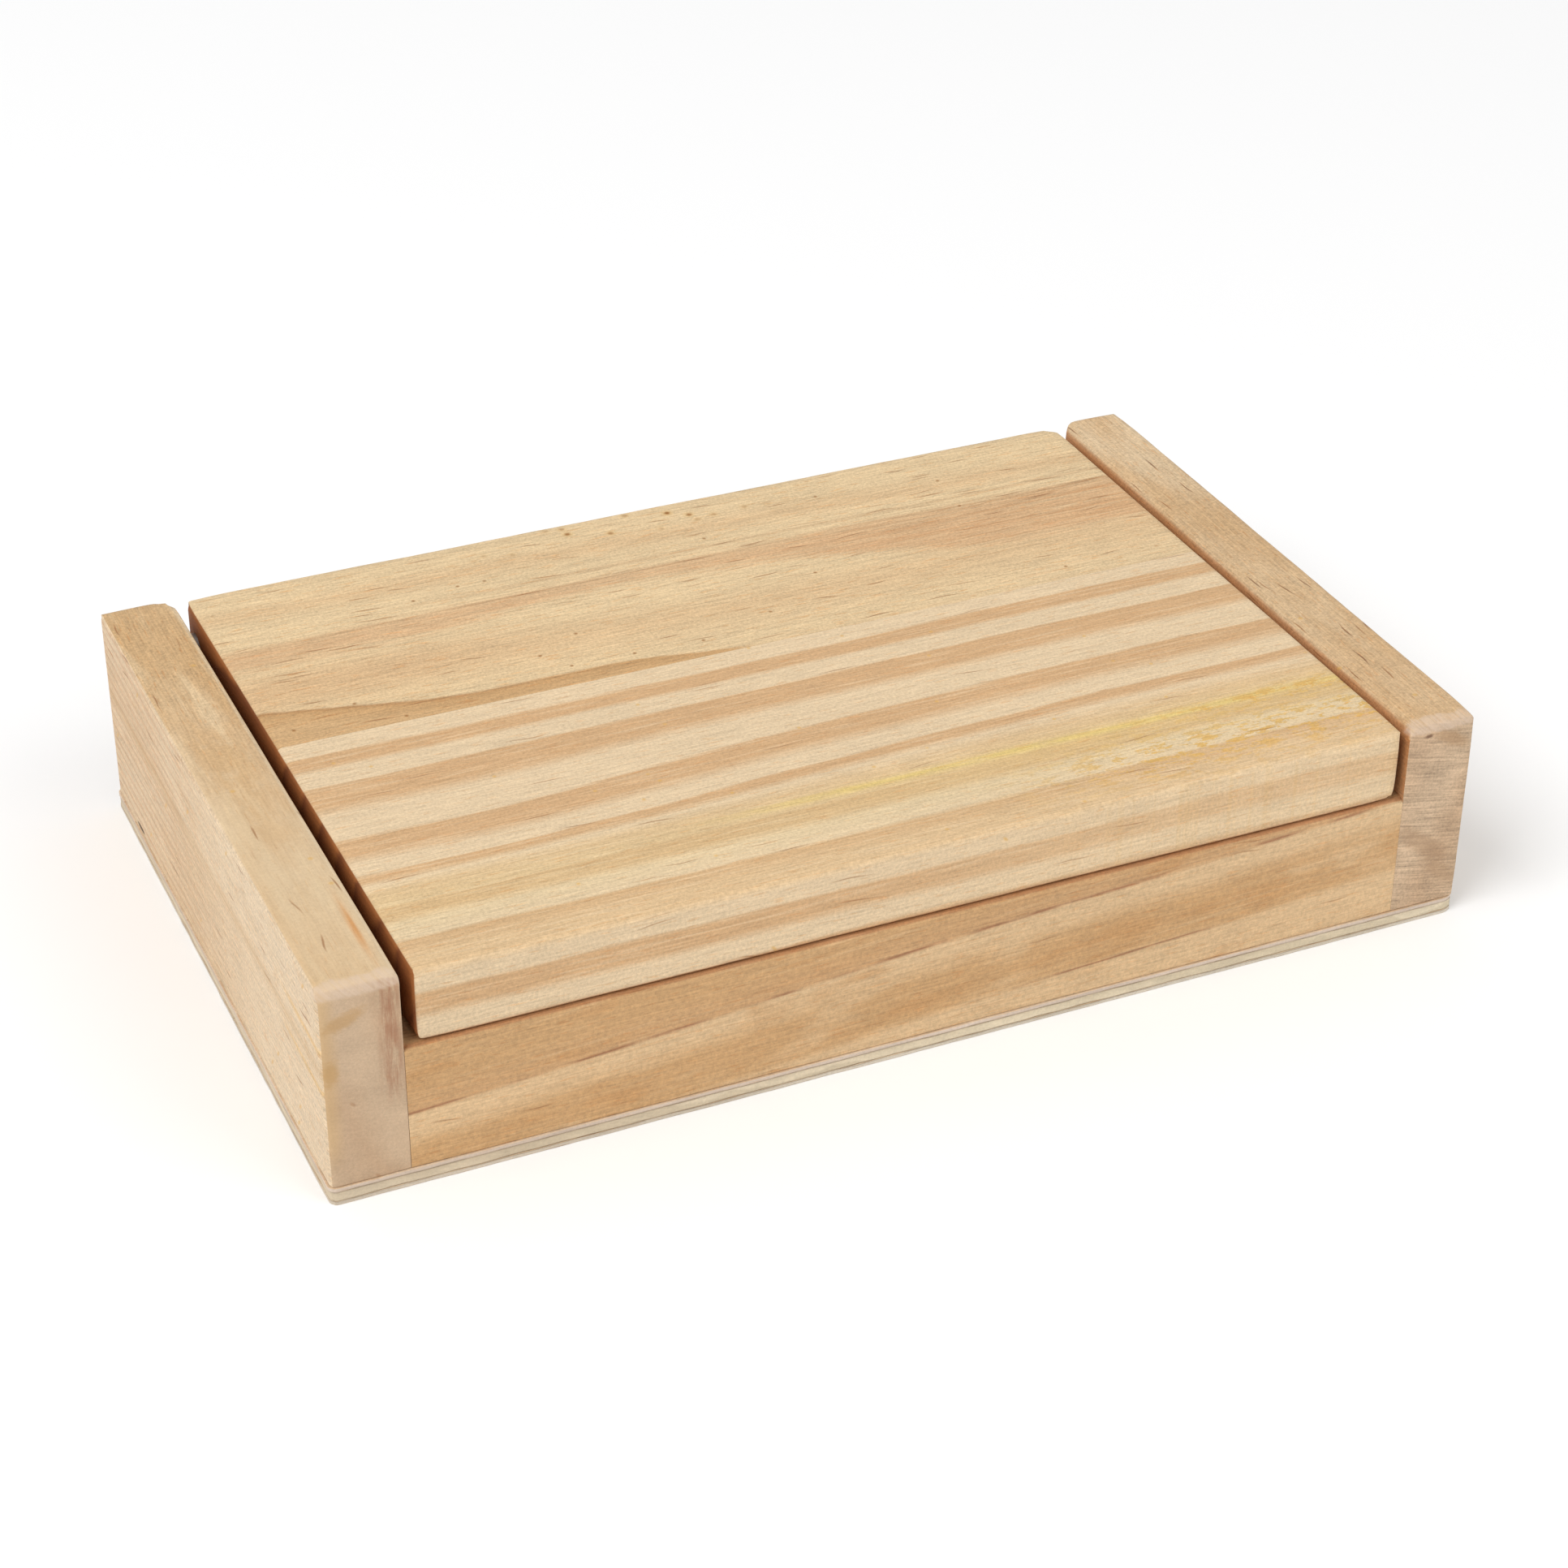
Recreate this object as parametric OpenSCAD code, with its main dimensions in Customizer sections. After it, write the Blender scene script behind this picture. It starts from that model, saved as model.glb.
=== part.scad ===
// Hinged-lid box mold for butter: two end walls, two lower rails, a plywood base and a two-stave lid on blind pins.
// X runs along the box, Y from front to back, Z up. The origin is under the middle of the base.

/* [Base] */
// Length of the plywood base
base_l = 190; // [165:1:240]
// Depth of the plywood base from front to back
base_d = 118; // [108:1:150]
// Thickness of each face veneer
veneer_t = 0.7; // [0.5:0.1:1]
// Thickness of the cross-grained core ply
core_t = 1.6; // [1.2:0.1:3]
// How far the base stands proud of the walls on every side
base_proud = 0.3; // [0.1:0.1:1]
// Radius of the corners of the base in plan
base_corner_r = 1.2; // [0.5:0.1:3]

/* [Walls and rails] */
// Thickness of an end wall
wall_t = 12.2; // [11:0.1:16]
// Height of an end wall above the base
wall_h = 34.2; // [34:0.1:40]
// Radius of the inner top edge of the left end wall
left_inner_r = 0.7; // [0.3:0.1:3]
// Radius of the inner top edge of the right end wall
right_inner_r = 1.8; // [0.3:0.1:3]
// Radius of the top edge of an end wall at its front
wall_front_r = 1.8; // [0.8:0.1:3]
// Radius of the corner where an end wall's inner face meets its back
wall_back_corner_r = 3; // [0.8:0.1:4]
// Radius of the other sanded edges
edge_r = 0.7; // [0.3:0.1:1]
// Thickness of a rail
rail_t = 12; // [11:0.5:16]
// Height of the front rail above the base
rail_h = 21.3; // [20.5:0.1:22]
// How much lower the back rail is, so that the turning lid clears it
back_relief = 0.6; // [0.5:0.1:0.7]

/* [Lid] */
// Thickness of the lid
lid_t = 12.5; // [12:0.1:12.8]
// Open gap between the lid and the left end wall
gap_left = 2; // [1:0.1:3]
// Open gap between the lid and the right end wall
gap_right = 1.1; // [1:0.1:3]
// How far the front of the lid sits behind the front of the rail
lid_setback = 0.3; // [0.2:0.1:1]
// How far the glue line of the two staves lies behind the middle of the box
glue_line_y = 6.4; // [-20:0.2:20]
// Radius of the rear top edge of the lid
lid_rear_top_r = 1.2; // [1:0.1:3.8]
// Radius of the lid's other long edges
lid_edge_r = 1; // [0.3:0.1:1.5]
// Radius of the lid's lower right edge
lid_low_right_r = 1.5; // [0.3:0.1:3]
// Radius of the lid's rear corners as seen from above
lid_back_corner_r = 3; // [0.8:0.1:4]

/* [Hinge] */
// Diameter of a hinge pin
pin_d = 5; // [3:0.5:6]
// Length of a hinge pin
pin_l = 20; // [18:0.5:22]
// Depth of the blind hole in an end wall
pin_seat = 8; // [6:0.5:9]
// Radial clearance of a pin in the lid
pin_clear = 0.05; // [0.02:0.01:0.1]

/* [Fasteners] */
// Diameter of a joining dowel
dowel_d = 5; // [4:0.5:6]
// Length of a joining dowel
dowel_l = 20; // [16:1:22]
// How much of a dowel is in the end wall
dowel_seat = 8; // [6:0.5:9]
// Height of the lower dowel above the base
dowel_low = 5.6; // [4:0.1:7]
// Distance between the two dowels of a joint
dowel_step = 10; // [8:0.5:11]
// Diameter of a brad's shank
brad_d = 1.2; // [1:0.1:1.6]
// Length of a brad
brad_l = 15; // [10:1:18]
// Diameter of a brad's head
brad_head_d = 2.8; // [2.2:0.1:3.5]
// Thickness of a brad's head
brad_head_t = 0.5; // [0.3:0.1:0.5]
// Distance of the outer brads of a wall from its middle one
wall_brad_step = 40; // [30:1:43]
// Distance of the outer brads of a rail from its middle one
rail_brad_step = 52; // [40:1:56]

/* [Hidden] */

$fn = 48;
// Glue film around a dowel or a brad
glue = 0.02;
// Overshoot of a cutting solid, so that no cut ends on a face
over = 1;
// Free room past the end of a pin in the lid
pin_end_play = 1;

base_t = 2 * veneer_t + core_t;
box_l = base_l - 2 * base_proud;
box_d = base_d - 2 * base_proud;
inner_l = box_l - 2 * wall_t;
wall_mid_x = (box_l - wall_t) / 2;
rail_mid_y = (box_d - rail_t) / 2;

lid_x0 = -inner_l / 2 + gap_left;
lid_x1 = inner_l / 2 - gap_right;
lid_y0 = -box_d / 2 + lid_setback;
lid_y1 = box_d / 2;
lid_z0 = base_t + rail_h;

// The pin lies half the lid's thickness from its bottom, its top and its rear face,
// and the rear bottom edge is rounded about it, so that the lid turns in place.
pin_y = lid_y1 - lid_t / 2;
pin_z = lid_z0 + lid_t / 2;
pin_x = inner_l / 2 + pin_seat - pin_l / 2;
dowel_x = inner_l / 2 + dowel_seat - dowel_l / 2;

// What is taken off to round a corner at the origin: a square with a round bite
module corner_notch(r) {
    if (r > 0)
        difference() {
            translate([-over, -over])
                square(r + over);
            translate([r, r])
                circle(r);
        }
}

// A rectangle from the origin, with a radius for each corner:
// lower left, lower right, upper right, upper left
module soft_rect(w, h, radii) {
    difference() {
        square([w, h]);
        corner_notch(radii[0]);
        translate([w, 0])
            mirror([1, 0])
                corner_notch(radii[1]);
        translate([w, h])
            rotate(180)
                corner_notch(radii[2]);
        translate([0, h])
            mirror([0, 1])
                corner_notch(radii[3]);
    }
}

// A board from the origin to size, rounded as seen from the front, from the side and from above
module board(size, front, side, plan) {
    intersection() {
        translate([0, size.y, 0])
            rotate([90, 0, 0])
                linear_extrude(size.y)
                    soft_rect(size.x, size.z, front);
        rotate([90, 0, 90])
            linear_extrude(size.x)
                soft_rect(size.y, size.z, side);
        linear_extrude(size.z)
            soft_rect(size.x, size.y, plan);
    }
}

// The four dowels of a rail: two in each of its ends
module rail_dowels(side, r) {
    for (end = [-1, 1])
        for (z = [dowel_low, dowel_low + dowel_step])
            translate([end * dowel_x, side * rail_mid_y, base_t + z])
                rotate([0, 90, 0])
                    cylinder(r = r, h = dowel_l, center = true);
}

// One brad, driven up through the base, and room of play round it where it is a hole
module brad(play) {
    cylinder(r = brad_d / 2 + play, h = brad_l);
    cylinder(r = brad_head_d / 2 + play, h = brad_head_t);
}

// All the brads: three under each end wall and three under each rail
module brads(play) {
    for (side = [-1, 1])
        for (step = [-1, 0, 1]) {
            translate([side * wall_mid_x, step * wall_brad_step, 0])
                brad(play);
            translate([step * rail_brad_step, side * rail_mid_y, 0])
                brad(play);
        }
}

// A hinge pin, or the hole for one where length and r are larger
module pin_rod(side, r, length) {
    translate([side * pin_x, pin_y, pin_z])
        rotate([0, 90, 0])
            cylinder(r = r, h = length, center = true);
}

// An end wall, with its outer face away from the middle: side is -1 on the left and 1 on the right
module end_wall(side) {
    inner_r = side < 0 ? left_inner_r : right_inner_r;
    difference() {
        mirror([side < 0 ? 0 : 1, 0, 0])
            translate([-box_l / 2, -box_d / 2, base_t])
                board(
                    [wall_t, box_d, wall_h],
                    front = [0, 0, inner_r, edge_r],
                    side = [0, 0, edge_r, wall_front_r],
                    plan = [edge_r, 0, wall_back_corner_r, edge_r]
                );
        for (rail = [-1, 1])
            rail_dowels(rail, dowel_d / 2 + glue);
        pin_rod(side, pin_d / 2, pin_l);
        brads(glue);
    }
}

// A rail of height h: side is -1 at the front and 1 at the back
module rail(side, h) {
    difference() {
        translate([-inner_l / 2, side * rail_mid_y - rail_t / 2, base_t])
            board(
                [inner_l, rail_t, h],
                front = [0, 0, 0, 0],
                side = [0, 0, edge_r, edge_r],
                plan = [0, 0, 0, 0]
            );
        rail_dowels(side, dowel_d / 2 + glue);
        brads(glue);
    }
}

// One ply of the base, from z0 to z0 + t
module ply(z0, t) {
    difference() {
        translate([-base_l / 2, -base_d / 2, z0])
            linear_extrude(t)
                soft_rect(base_l, base_d, [for (corner = [0:3]) base_corner_r]);
        brads(glue);
    }
}

// The whole lid panel, with the two holes for its pins
module lid_panel() {
    difference() {
        translate([lid_x0, lid_y0, lid_z0])
            board(
                [lid_x1 - lid_x0, lid_y1 - lid_y0, lid_t],
                front = [edge_r, lid_low_right_r, edge_r, edge_r],
                side = [lid_edge_r, lid_t / 2, lid_rear_top_r, lid_edge_r],
                plan = [edge_r, edge_r, lid_back_corner_r, lid_back_corner_r]
            );
        for (side = [-1, 1])
            pin_rod(side, pin_d / 2 + pin_clear, pin_l + 2 * pin_end_play);
    }
}

// All the space in front of the lid's glue line
module front_of_glue_line() {
    translate([-box_l / 2, -base_d, 0])
        cube([box_l, base_d + glue_line_y, base_t + wall_h + lid_t]);
}

module left_end_wall() {
    color("burlywood")
        end_wall(-1);
}

module right_end_wall() {
    color("burlywood")
        end_wall(1);
}

module front_rail() {
    color("sandybrown")
        rail(-1, rail_h);
}

module back_rail() {
    color("sandybrown")
        rail(1, rail_h - back_relief);
}

module base_top_veneer() {
    color("blanchedalmond")
        ply(veneer_t + core_t, veneer_t);
}

module base_core_ply() {
    color("tan")
        ply(veneer_t, core_t);
}

module base_bottom_veneer() {
    color("blanchedalmond")
        ply(0, veneer_t);
}

module lid_back_stave() {
    color("wheat")
        difference() {
            lid_panel();
            front_of_glue_line();
        }
}

module lid_front_stave() {
    color("navajowhite")
        intersection() {
            lid_panel();
            front_of_glue_line();
        }
}

module left_hinge_pin() {
    color("silver")
        pin_rod(-1, pin_d / 2, pin_l);
}

module right_hinge_pin() {
    color("silver")
        pin_rod(1, pin_d / 2, pin_l);
}

module front_rail_dowels() {
    color("tan")
        rail_dowels(-1, dowel_d / 2);
}

module back_rail_dowels() {
    color("tan")
        rail_dowels(1, dowel_d / 2);
}

module base_brads() {
    color("gray")
        brads(0);
}

left_end_wall();
right_end_wall();
front_rail();
back_rail();
base_top_veneer();
base_core_ply();
base_bottom_veneer();
lid_back_stave();
lid_front_stave();
left_hinge_pin();
right_hinge_pin();
front_rail_dowels();
back_rail_dowels();
base_brads();
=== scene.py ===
"""A hinged-lid box mold of pine and plywood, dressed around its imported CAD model.

Lengths are in metres in the row frame. Materials work in millimetres of that same frame, so that
growth rings run through a board and meet at its edges.
"""

import math

import bmesh
import bpy
import numpy as np
from mathutils import Matrix, Vector, noise


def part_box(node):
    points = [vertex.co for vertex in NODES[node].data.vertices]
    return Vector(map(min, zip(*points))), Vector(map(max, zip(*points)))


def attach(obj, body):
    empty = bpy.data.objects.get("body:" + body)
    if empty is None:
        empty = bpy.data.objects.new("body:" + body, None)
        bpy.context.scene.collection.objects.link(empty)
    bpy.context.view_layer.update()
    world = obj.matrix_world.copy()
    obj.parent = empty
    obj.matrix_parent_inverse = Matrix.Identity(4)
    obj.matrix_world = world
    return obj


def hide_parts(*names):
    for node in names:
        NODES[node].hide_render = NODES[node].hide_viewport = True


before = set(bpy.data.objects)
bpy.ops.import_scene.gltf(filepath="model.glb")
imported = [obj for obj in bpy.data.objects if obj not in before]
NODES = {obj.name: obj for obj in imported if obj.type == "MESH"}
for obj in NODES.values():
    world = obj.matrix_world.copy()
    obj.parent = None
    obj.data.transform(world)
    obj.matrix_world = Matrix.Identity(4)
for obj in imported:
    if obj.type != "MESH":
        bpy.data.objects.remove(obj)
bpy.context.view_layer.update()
MM = 0.001


# Camera, light and floor

AZIMUTH = math.radians(-24.1)
ELEVATION = math.radians(32.0)
ROLL = math.radians(0.3)
DISTANCE = 0.5755
LENS_MM = 79.7
SENSOR_MM = 36
NEAREST = 0.02
# How far the camera is moved to its right and upward, out of the line to the origin
MOVE_RIGHT = 0.0020
MOVE_UP = 0.0119

# (place, side, watts) of each softbox
KEY_LIGHT = ((-1.5, -0.5, 2.1), 1.4, 36)
FILL_LIGHT = ((1.3, -1.7, 1.8), 1.8, 16)
SURROUND_STRENGTH = 0.6
FLOOR_HALF = 3.0
FLOOR_GREY = 0.96
FLOOR_ROUGHNESS = 0.9


def make_camera():
    """The camera looks from the front left, somewhat above, at the middle of the object."""
    flat = math.cos(ELEVATION)
    back = Vector((math.sin(AZIMUTH) * flat, -math.cos(AZIMUTH) * flat, math.sin(ELEVATION)))
    right = Vector((0, 0, 1)).cross(back).normalized()
    up = back.cross(right)
    turned_right = right * math.cos(ROLL) + up * math.sin(ROLL)
    turned_up = up * math.cos(ROLL) - right * math.sin(ROLL)
    place = Matrix((turned_right, turned_up, back)).transposed().to_4x4()
    place.translation = back * DISTANCE + turned_right * MOVE_RIGHT + turned_up * MOVE_UP
    data = bpy.data.cameras.new("camera")
    data.sensor_width = SENSOR_MM
    data.lens = LENS_MM
    data.clip_start = NEAREST
    camera = bpy.data.objects.new("camera", data)
    camera.matrix_world = place
    bpy.context.scene.collection.objects.link(camera)
    bpy.context.scene.camera = camera


def make_light(name, where, size, watts):
    """A square softbox that faces the middle of the object."""
    data = bpy.data.lights.new(name, "AREA")
    data.size = size
    data.energy = watts
    light = bpy.data.objects.new(name, data)
    light.location = where
    light.rotation_euler = (-Vector(where)).to_track_quat("-Z", "Y").to_euler()
    bpy.context.scene.collection.objects.link(light)


def make_studio():
    """A pale floor, an even white surround and two softboxes."""
    world = bpy.data.worlds.new("surround")
    world.use_nodes = True
    surround = world.node_tree.nodes["Background"]
    surround.inputs["Color"].default_value = (1, 1, 1, 1)
    surround.inputs["Strength"].default_value = SURROUND_STRENGTH
    bpy.context.scene.world = world
    bpy.context.scene.view_settings.view_transform = "Standard"
    make_light("key_light", *KEY_LIGHT)
    make_light("fill_light", *FILL_LIGHT)

    mesh = bpy.data.meshes.new("floor")
    signs = ((-1, -1), (1, -1), (1, 1), (-1, 1))
    corners = [(x * FLOOR_HALF, y * FLOOR_HALF, 0) for x, y in signs]
    mesh.from_pydata(corners, [], [(0, 1, 2, 3)])
    floor = bpy.data.objects.new("floor", mesh)
    bpy.context.scene.collection.objects.link(floor)
    paint = bpy.data.materials.new("floor_paint")
    paint.use_nodes = True
    coat = paint.node_tree.nodes["Principled BSDF"]
    coat.inputs["Base Color"].default_value = (FLOOR_GREY, FLOOR_GREY, FLOOR_GREY, 1)
    coat.inputs["Roughness"].default_value = FLOOR_ROUGHNESS
    mesh.materials.append(paint)


# Shader toolkit


class Wire:
    """A number that varies over a surface. It adds and multiplies like a plain number."""

    def __init__(self, tree, socket):
        self.tree = tree
        self.socket = socket

    def __add__(self, other):
        return self.tree.math("ADD", self, other)

    def __sub__(self, other):
        return self.tree.math("SUBTRACT", self, other)

    def __rsub__(self, other):
        return self.tree.math("SUBTRACT", other, self)

    def __mul__(self, other):
        return self.tree.math("MULTIPLY", self, other)

    def __truediv__(self, other):
        return self.tree.math("DIVIDE", self, other)

    def __abs__(self):
        return self.tree.math("ABSOLUTE", self)

    __radd__ = __add__
    __rmul__ = __mul__


def srgb(red, green, blue):
    """A colour in 0 to 255 as the eye names it, turned to the linear colour that shaders use."""

    def linear(value):
        value = value / 255
        return value / 12.92 if value <= 0.04045 else ((value + 0.055) / 1.055) ** 2.4

    return (linear(red), linear(green), linear(blue), 1.0)


class Tree:
    """Builds one material's nodes."""

    def __init__(self, name):
        self.material = bpy.data.materials.new(name)
        self.material.use_nodes = True
        self.nodes = self.material.node_tree.nodes
        self.links = self.material.node_tree.links
        self.shader = self.nodes["Principled BSDF"]
        self.places = self.nodes.new("ShaderNodeTexCoord")

    def feed(self, socket, value):
        """Links a wire to a socket, or sets the socket to a plain value."""
        if isinstance(value, Wire):
            self.links.new(value.socket, socket)
        else:
            socket.default_value = value

    def math(self, operation, *values):
        node = self.nodes.new("ShaderNodeMath")
        node.operation = operation
        for socket, value in zip(node.inputs, values):
            self.feed(socket, value)
        return Wire(self, node.outputs[0])

    def xyz(self, output):
        """The three numbers of a texture coordinate output."""
        node = self.nodes.new("ShaderNodeSeparateXYZ")
        self.links.new(self.places.outputs[output], node.inputs[0])
        return [Wire(self, socket) for socket in node.outputs]

    def vector(self, *parts):
        node = self.nodes.new("ShaderNodeCombineXYZ")
        for socket, part in zip(node.inputs, parts):
            self.feed(socket, part)
        return Wire(self, node.outputs[0])

    def noise(self, *parts, detail=2.0, roughness=0.5):
        """Smooth noise from 0 to 1, with a feature about every whole step of the parts."""
        node = self.nodes.new("ShaderNodeTexNoise")
        self.feed(node.inputs["Vector"], self.vector(*parts))
        node.inputs["Scale"].default_value = 1.0
        node.inputs["Detail"].default_value = detail
        node.inputs["Roughness"].default_value = roughness
        return Wire(self, node.outputs["Fac"])

    def cells(self, u, v):
        """(distance to the nearest scattered point, a random number for that point)."""
        node = self.nodes.new("ShaderNodeTexVoronoi")
        node.voronoi_dimensions = "2D"
        self.feed(node.inputs["Vector"], self.vector(u, v))
        node.inputs["Scale"].default_value = 1.0
        split = self.nodes.new("ShaderNodeSeparateColor")
        self.links.new(node.outputs["Color"], split.inputs[0])
        return Wire(self, node.outputs["Distance"]), Wire(self, split.outputs[2])

    def rise(self, value, low, high):
        """0 below low, 1 above high, and a smooth step between them. low may be the larger."""
        if low > high:
            return 1 - self.rise(value, high, low)
        node = self.nodes.new("ShaderNodeMapRange")
        node.interpolation_type = "SMOOTHSTEP"
        self.feed(node.inputs["Value"], value)
        node.inputs["From Min"].default_value = low
        node.inputs["From Max"].default_value = high
        return Wire(self, node.outputs[0])

    def hill(self, value, centre, width):
        """1 at the centre, falling away smoothly to each side."""
        step = (value - centre) / width
        return self.math("EXPONENT", 0 - step * step)

    def ramp(self, value, stops):
        """A colour that runs through stops, a list of (value, colour) in rising order."""
        low, high = stops[0][0], stops[-1][0]
        node = self.nodes.new("ShaderNodeValToRGB")
        self.feed(node.inputs[0], (value - low) / (high - low))
        points = node.color_ramp.elements
        while len(points) < len(stops):
            points.new(0.5)
        for point, (place, colour) in zip(points, stops):
            point.position = (place - low) / (high - low)
            point.color = colour
        return Wire(self, node.outputs[0])

    def mix(self, amount, first, second, blend="MIX"):
        """The first colour, with the amount of the second mixed or blended in."""
        node = self.nodes.new("ShaderNodeMix")
        node.data_type = "RGBA"
        node.blend_type = blend
        self.feed(node.inputs[0], amount)
        self.feed(node.inputs[6], first)
        self.feed(node.inputs[7], second)
        return Wire(self, node.outputs[2])

    def scale(self, colour, factor, warmth=1.0):
        """A colour made lighter or darker by a factor near 1, and its cool parts by warmth."""
        cool = self.vector(factor, factor * warmth, factor * warmth * warmth)
        return self.mix(1.0, colour, cool, "MULTIPLY")

    def finish(self, colour, roughness, height, depth_mm):
        """Sets the shader's colour, roughness and bump. Height is 0 to 1 for depth_mm."""
        self.feed(self.shader.inputs["Base Color"], colour)
        self.feed(self.shader.inputs["Roughness"], roughness)
        bump = self.nodes.new("ShaderNodeBump")
        bump.inputs["Strength"].default_value = 1.0
        bump.inputs["Distance"].default_value = depth_mm * MM
        self.feed(bump.inputs["Height"], height)
        self.links.new(bump.outputs[0], self.shader.inputs["Normal"])
        return self.material


# Timber


# The lid
PALE = srgb(222, 197, 161)
TAN = srgb(207, 168, 124)
MID = srgb(216, 184, 141)
CREAM = srgb(221, 194, 152)
PINK = srgb(209, 169, 126)
WEDGE = srgb(198, 157, 108)
YELLOW = srgb(222, 190, 112)
AMBER = srgb(215, 168, 86)
DUCT = srgb(146, 94, 50)
SPECK = srgb(142, 86, 20)
FACE_PALE = srgb(222, 194, 154)
LINE_YELLOW = srgb(226, 197, 108)
TINT_YELLOW = srgb(220, 200, 146)
COMB = srgb(190, 142, 96)
# Painted shadow of the thin gap between the lid and the rails
GAP_SHADOW = srgb(148, 72, 26)
# The lid's end grain rings, darkened as painted shade of the narrow gaps beside the end walls
LID_END_GRAIN_AND_SHADE = [srgb(160, 100, 52), srgb(146, 88, 44), srgb(122, 70, 36)]

# The rails
RAIL = srgb(198, 158, 111)
RAIL_PALE = srgb(214, 182, 140)
RAIL_LINE = srgb(198, 157, 112)
RAIL_BROWN = srgb(193, 146, 95)
RAIL_STREAK = srgb(188, 140, 92)
RAIL_DARK = srgb(140, 86, 58)

# The end walls
WALL = srgb(208, 175, 134)
WALL_TAN = srgb(204, 169, 124)
WALL_CREAM = srgb(216, 190, 154)
WALL_OUTER = srgb(224, 203, 174)
LINE_PINK = srgb(196, 154, 120)
# Painted shade for the walls' inner faces, where they face the lid across a narrow gap
INNER_PAINTED_SHADE = srgb(184, 124, 74)
SANDED = srgb(213, 190, 168)
END_PALE = srgb(198, 171, 141)
END_PINK = srgb(190, 160, 129)
END_TAN = srgb(178, 146, 112)
LEFT_TOP_BACK = srgb(196, 158, 110)
LEFT_TOP_PALE = srgb(224, 200, 162)
LEFT_TOP_TAN = srgb(200, 162, 114)
LEFT_TOP_FRONT = srgb(216, 189, 150)
# Painted highlight along the left wall's inner top edge
LEFT_EDGE_HIGHLIGHT = srgb(228, 208, 176)
LEFT_TOP_STREAK = srgb(206, 142, 76)
LEFT_SLIT = srgb(96, 70, 48)
LEFT_END_BROWN = srgb(158, 106, 76)
LEFT_END_YELLOW = srgb(208, 172, 120)
LEFT_END_SPECK = srgb(160, 116, 80)
LEFT_STAIN_HIGH = srgb(188, 148, 96)
LEFT_STAIN_LOW = srgb(186, 146, 92)
RIGHT_TOP = srgb(196, 160, 116)
RIGHT_DUCT = srgb(128, 84, 50)
RIGHT_STAIN = srgb(160, 126, 94)
RIGHT_STAIN_LOW = srgb(172, 138, 104)
RIGHT_STAIN_HIGH = srgb(170, 132, 92)
RIGHT_NICK = srgb(112, 80, 60)

# Plywood and beech. The first four are still 0 to 255, because veneer() darkens them too
TOP_PLY = (223, 205, 188)
CORE_PLY = (226, 211, 183)
BOTTOM_PLY = (219, 208, 190)
BEECH = (206, 172, 132)
PLY_DARKER = 18
PLY_FACE = srgb(217, 188, 148)
PLY_FIGURE = srgb(190, 152, 110)
PLY_GREY = srgb(192, 170, 146)
GLUE = srgb(120, 100, 80)

STEEL_DARK = srgb(150, 148, 145)
STEEL_PALE = srgb(190, 189, 186)


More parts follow.
